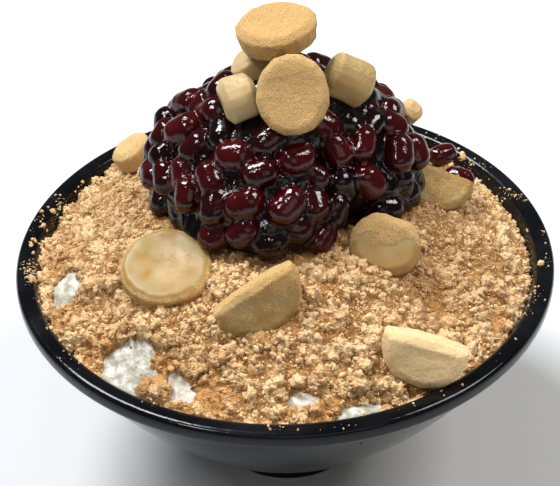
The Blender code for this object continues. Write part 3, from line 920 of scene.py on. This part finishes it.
def cakeMaterial():
    material, tree, shader, place = newMaterial("riceCake", 0.5, 1.42)
    dusty, browned, pale = [maskNode(tree, name) for name in ("dust", "browned", "pale")]
    soft = noiseAt(tree, place, 190.0, 3.0)
    patches = noiseAt(tree, place, 520.0, 4.0, 0.65)
    grains = noiseAt(tree, place, 2900.0, 2.0, 0.6)
    level = calc(tree, "ADD", times(tree, patches, 0.75), times(tree, grains, 0.45))
    floorLevel = calc(tree, "SUBTRACT", 1.02, times(tree, dusty, 0.85))
    cover = ramp(tree, calc(tree, "SUBTRACT", level, floorLevel), -0.14, 0.14)
    flesh = blend(tree, ramp(tree, soft, 0.35, 0.68), cakes["moist"], cakes["rich"])
    flesh = blend(tree, pale, flesh, cakes["paleMoist"])
    flesh = blend(tree, times(tree, browned, ramp(tree, patches, 0.38, 0.56)), flesh, cakes["brown"])
    powdered = blend(tree, ramp(tree, grains, 0.35, 0.60), cakes["shade"], cakes["dust"])
    powdered = blend(tree, pale, powdered, cakes["paleDust"])
    rough = times(tree, times(tree, cover, grains), 1.6)
    height = calc(tree, "ADD", times(tree, soft, 0.35), rough)
    setShader(tree, shader, {
        "Base Color": blend(tree, cover, flesh, powdered),
        "Roughness": ramp(tree, cover, 0.0, 1.0, 0.42, 0.92), "Specular IOR Level": 0.35,
        "Subsurface Weight": 0.35, "Subsurface Radius": (1.0, 0.62, 0.28), "Subsurface Scale": 2.4 * mm,
        "Normal": bumpNode(tree, height, 0.8, 0.4 * mm)})
    return material


cakePaint = cakeMaterial()


def aimOf(elevation, azimuth):
    el, az = math.radians(elevation), math.radians(azimuth)
    return Vector((math.cos(el) * math.cos(az), math.cos(el) * math.sin(az), math.sin(el)))


def buildCakes():
    made = []
    for seed, (node, look) in enumerate(cakeLooks.items()):
        cake = copyOfNode(node, node + "_shown")
        remeshed(cake, cakes["voxel"], cakes["smoothing"])
        low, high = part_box(node)
        middle, aim = (low + high) / 2, aimOf(*look["face"])
        corners = cake.data.vertices

        # How far a corner is from the middle: as an arrow, towards the face, and across it.
        def spread(corner):
            arm = corner.co - middle
            up = arm.dot(aim)
            return arm, up, (arm - aim * up).length

        half = max(abs(spread(corner)[1]) for corner in corners)
        reach = max(spread(corner)[2] for corner in corners)
        face, side = look["dust"]
        masks = {"dust": [], "browned": [], "pale": []}
        for corner in corners:
            arm, up, flat = spread(corner)
            flat /= reach
            onFace = smoothStep(0.35, 0.85, up / half) * smoothStep(0.95, 0.80, flat)
            wander = noise.noise(corner.co / (4.2 * mm) + Vector((seed, 0, 0)))
            cover = face * onFace + side * (1 - onFace) + 0.20 * wander
            cover += 0.18 * (corner.normal.z - 0.3) * (1 - onFace)
            cover += look.get("crown", 0.0) * smoothStep(0.05, 0.75, arm.z / reach + 0.25 * wander)
            masks["dust"].append(min(max(cover, 0.0), 1.0))
            middling = smoothStep(0.75, 0.1, flat) * onFace * (0.6 + wander)
            masks["pale"].append(look["pale"] + look.get("centre", 0.0) * middling)
            below = smoothStep(0.3, -0.6, up / half)
            sag = smoothStep(0.2, -0.9, arm.z / reach)
            stain = min(1.0, 0.9 * below + 0.35 * (1 - onFace) + 0.4 * sag)
            masks["browned"].append(stain if node in cakes["stained"] else 0.12 * below)
        for corner, amount in zip(corners, masks["dust"]):
            arm, up, flat = spread(corner)
            move = cakes["wobble"] * noise.noise(corner.co / (5.0 * mm) + Vector((0, seed, 0)))
            move += cakes["grain"] * amount * noise.noise(corner.co / (0.9 * mm))
            sink = look.get("hollow", 0.0) * mm * smoothStep(0.75, 0.0, flat / reach)
            move -= sink * smoothStep(0.2, 0.8, up / half)
            corner.co += corner.normal * move
        for name, values in masks.items():
            setMask(cake.data, name, values)
        paint(cake, cakePaint)
        hand(cake, "rice_cake", node)
        made.append(cake)
    return made


cakePieces = buildCakes()
print("rice cakes done")


# Loose crumbs of powder.
# Each kind: face level (1 has 20 faces, 2 has 80, 3 has 320), pieces in a square metre, smallest and largest
# in mm, how much small ones outnumber large ones, how deep they sink as a share of their size, and seed.
crumbKinds = {
    "clumps": (3, 52000.0, 2.4, 5.6, 1.6, 0.12, 3),
    "crumbs": (2, 150000.0, 1.1, 2.9, 1.9, 0.02, 5),
    "smallCrumbs": (1, 510000.0, 0.6, 1.3, 1.5, 0.0, 6),
    "grit": (1, 510000.0, 0.4, 0.85, 1.6, 0.0, 8),
    "fineGrit": (1, 510000.0, 0.28, 0.6, 1.6, 0.0, 19),
    "iceCrumbs": (1, 700000.0, 0.25, 1.3, 2.2, 0.0, 9),
    "rimCrumbs": (1, 3400000.0, 0.22, 1.2, 3.0, -0.1, 11),
    "rimLumps": (2, 420000.0, 1.1, 3.0, 1.6, 0.0, 12),
    "cakeDust": (1, 1900000.0, 0.18, 0.55, 2.0, 0.05, 14),
}


# Crumbs of a few rough shapes, scattered where the mesh's own density allows them.
def crumbTree(shapes):
    tree, given, result = newTree(
        "loose crumbs", ["Density", "Smallest", "Largest", "Even", "Sink"], ["Faces", "Seed"])
    together = tree.nodes.new("GeometryNodeJoinGeometry")
    for kind in range(shapes):
        ball = addNode(tree, "GeometryNodeMeshIcoSphere", {"Radius": 0.5, "Subdivisions": given["Faces"]})
        place = tree.nodes.new("GeometryNodeInputPosition").outputs[0]
        shift = vectorCalc(tree, "ADD", place, (kind * 3.1, kind * 1.7, 0.4))
        rough = times(tree, noiseAt(tree, shift, 1.9), 1.6)
        knobs = times(tree, cellsAt(tree, shift, 4.6), -0.95)
        swell = calc(tree, "ADD", calc(tree, "ADD", rough, knobs), 0.45)
        flatness = (1.0, 0.85 - 0.04 * (kind % 5), 0.72 + 0.05 * (kind % 5))
        squash = vectorCalc(tree, "MULTIPLY", place, flatness)
        shape = addNode(tree, "GeometryNodeSetPosition", {
            "Geometry": ball.outputs["Mesh"], "Position": vectorCalc(tree, "SCALE", squash, swell)})
        single = addNode(tree, "GeometryNodeGeometryToInstance", {0: shape.outputs[0]})
        tree.links.new(single.outputs[0], together.inputs[0])

    def chance(kind, low, high, shift):
        node = addNode(tree, "FunctionNodeRandomValue", data_type=kind)
        sockets = [s for s in node.inputs if s.enabled and s.name in ("Min", "Max")]
        for socket, value in zip(sockets, (low, high)):
            socket.default_value = value
        feed(tree, calc(tree, "ADD", given["Seed"], float(shift)), node.inputs["Seed"])
        return [s for s in node.outputs if s.enabled][0]

    density = times(tree, stored(tree, "density"), given["Density"])
    scatter = addNode(tree, "GeometryNodeDistributePointsOnFaces", {
        "Mesh": given["Geometry"], "Density": density, "Seed": given["Seed"]})
    share = calc(tree, "POWER", chance("FLOAT", 0.0, 1.0, 1), given["Even"])
    extra = times(tree, share, calc(tree, "SUBTRACT", given["Largest"], given["Smallest"]))
    size = calc(tree, "ADD", given["Smallest"], extra)
    sunk = times(tree, times(tree, given["Sink"], size), -1.0)
    lower = addNode(tree, "GeometryNodeSetPosition", {
        "Geometry": scatter.outputs["Points"],
        "Offset": vectorCalc(tree, "SCALE", scatter.outputs["Normal"], sunk)})
    fullTurn = (6.283, 6.283, 6.283)
    last = addNode(tree, "GeometryNodeInstanceOnPoints", {
        "Points": lower.outputs[0], "Instance": together.outputs[0], "Pick Instance": True,
        "Instance Index": chance("INT", 0, shapes - 1, 2),
        "Rotation": chance("FLOAT_VECTOR", (0, 0, 0), fullTurn, 3), "Scale": size})
    # Each crumb gets a random tone of its own, and none of the powder's painted crevice shade.
    for name, value in (("shade", chance("FLOAT", -1.0, 0.8, 4)), ("openToLight", 1.0)):
        last = addNode(tree, "GeometryNodeStoreNamedAttribute",
                       {"Name": name, "Geometry": last.outputs[0], "Value": value}, domain="INSTANCE")
    return closeTree(tree, given, last.outputs[0], result)


bigGrower, smallGrower = crumbTree(16), crumbTree(5)      # the big clumps come in more shapes


def scatterCrumbs(kind, base, density):
    faces, pieces, smallest, largest, even, sink, seed = crumbKinds[kind]
    thing = newObject(kind, base.copy())
    setMask(thing.data, "density", density)
    grow(thing, bigGrower if kind in ("clumps", "crumbs") else smallGrower, {
        "Density": pieces, "Smallest": smallest * mm, "Largest": largest * mm, "Even": even,
        "Sink": sink, "Faces": faces, "Seed": seed, "Material": powderPaint})
    paint(thing, powderPaint)
    hand(thing, "soybean_powder", "bean_powder")


def buildCrumbs():
    base = powderCore.data
    top = base.attributes["top"].data
    low, mid, fine = [], [], []
    for corner in base.vertices:
        x, y, _ = corner.co
        coarse, bare = coarseness(x, y), bareness(x, y)
        share = shareOfHeap(x, y)
        clear = (1 - smoothStep(0.05, 0.45, bare)) * smoothStep(0.99, 1.05, share) * top[corner.index].value
        over = cakeOver(x, y)
        clear *= 1.0 if over is None or over - corner.co.z > 3.0 * mm else 0.0
        low.append(clear * coarse ** 2)
        mid.append(clear * min(1.0, 0.2 + coarse))
        fine.append(clear)
    scatterCrumbs("clumps", base, low)
    scatterCrumbs("crumbs", base, mid)
    for kind in ("smallCrumbs", "grit", "fineGrit"):
        scatterCrumbs(kind, base, fine)

    shown = iceBody.data.attributes["shows"].data
    specks = [shown[i].value * (0.05 + smoothStep(0.0, 0.5, noise.noise(corner.co / (3.0 * mm))))
              for i, corner in enumerate(iceBody.data.vertices)]
    scatterCrumbs("iceCrumbs", iceBody.data, specks)

    # The rim: most on the left and at the back left, some on the right, few in front.
    density, lumps = [], []
    for corner in bowlShape.data.vertices:
        x, y, z = corner.co
        radius, turn = math.hypot(x, y), math.degrees(math.atan2(y, x)) % 360
        inside = smoothStep(bowl["rimRadius"] - 1.0 * mm, bowl["rimRadius"] - 4.0 * mm, radius)
        onLip = z > 66.0 * mm and corner.normal.z > -0.2
        shown = 1.0 if onLip and radius < bowl["rimRadius"] - 1.3 * mm else 0.0
        left = math.exp(-((turn - 168) / 36) ** 2)
        right = math.exp(-(((turn + 180 - 14) % 360 - 180) / 28) ** 2)
        front = math.exp(-((turn - 290) / 25) ** 2)
        streak = smoothStep(-0.05, 0.5, noise.noise(Vector((x, y, z)) / (4.0 * mm)))
        clump = smoothStep(0.0, 0.5, noise.noise(Vector((x, y, z + 0.05)) / (6.0 * mm)))
        around = 0.06 + 0.95 * left + 0.85 * right + 0.2 * front
        density.append(shown * (0.22 + 0.78 * inside) * streak * around)
        around = 0.9 * left + 0.35 * right + 0.05 * front
        lumps.append(shown * (0.15 + 0.85 * inside) * clump * around)
    scatterCrumbs("rimCrumbs", bowlShape.data, density)
    scatterCrumbs("rimLumps", bowlShape.data, lumps)

    body = bmesh.new()
    for cake in cakePieces:
        body.from_mesh(cake.data)
    mesh = meshFrom(body, "cakeSurfaces")
    dust = mesh.attributes["dust"].data
    density = [max(0.0, corner.normal.z) * max(0.0, dust[i].value - 0.25)
               for i, corner in enumerate(mesh.vertices)]
    scatterCrumbs("cakeDust", mesh, density)


buildCrumbs()
print("crumbs done")


# The set.
studio = {"floor": (0.66, 0.66, 0.66), "sky": (0.93, 0.96, 1.0), "skyStrength": 0.11}
# at: place. aim: height of the point over the middle that the light looks at. size: width and height.
lights = {
    "window": {"at": (-0.50, 0.40, 1.18), "aim": 0.09, "size": (0.42, 0.50), "power": 22.5,
               "colour": (0.93, 0.97, 1.0)},
    "side window": {"at": (-0.46, -0.42, 1.02), "aim": 0.09, "size": (0.15, 0.22), "power": 3.2,
                    "colour": (0.93, 0.97, 1.0)},
    "above": {"at": (0.62, 0.02, 0.95), "aim": 0.09, "size": (0.34, 0.44), "power": 7.5,
              "colour": (1.0, 0.99, 0.97)},
    "fill": {"at": (0.25, -0.9, 0.65), "aim": 0.08, "size": (0.7, 0.5), "power": 0.9,
             "colour": (1.0, 0.96, 0.90)},
}
# down: how steeply the camera looks down from the front. tip: its turn about its own line of sight.
view = {"distance": 0.4, "down": 37.3, "tip": -1.49, "target": (-0.0012, 0.0, 0.0708), "lens": 91.7}


def buildStudio():
    floor = meshObject("floor", [(-3, -3, 0), (3, -3, 0), (3, 3, 0), (-3, 3, 0)], [(0, 1, 2, 3)])
    material, tree, shader, place = newMaterial("paleFloor", 0.7)
    shader.inputs["Base Color"].default_value = (*studio["floor"], 1.0)
    floor.data.materials.append(material)
    world = bpy.data.worlds.new("room")
    bpy.context.scene.world = world
    world.use_nodes = True
    sky = world.node_tree.nodes["Background"]
    sky.inputs["Color"].default_value = (*studio["sky"], 1.0)
    sky.inputs["Strength"].default_value = studio["skyStrength"]
    for name, look in lights.items():
        light = bpy.data.lights.new(name, "AREA")
        light.shape = "RECTANGLE"
        light.size, light.size_y = look["size"]
        light.energy = look["power"]
        light.color = look["colour"]
        at = Vector(look["at"])
        turn = (at - Vector((0, 0, look["aim"]))).to_track_quat("Z", "Y")
        newObject(name, light).matrix_world = Matrix.Translation(at) @ turn.to_matrix().to_4x4()


def buildCamera():
    down, tip = math.radians(view["down"]), math.radians(view["tip"])
    back = Vector((0.0, -math.cos(down), math.sin(down)))
    right = Vector((1.0, 0.0, 0.0))
    up = back.cross(right)
    across = math.cos(tip) * right + math.sin(tip) * up
    above = -math.sin(tip) * right + math.cos(tip) * up
    camera = newObject("camera", bpy.data.cameras.new("camera"))
    camera.matrix_world = (Matrix.Translation(Vector(view["target"]) + view["distance"] * back)
                           @ Matrix((across, above, back)).transposed().to_4x4())
    camera.data.sensor_width = 36.0
    camera.data.lens = view["lens"]
    camera.data.clip_start = 0.01
    bpy.context.scene.camera = camera


buildStudio()
buildCamera()
bpy.context.scene.view_settings.view_transform = "Standard"
print("scene ready")
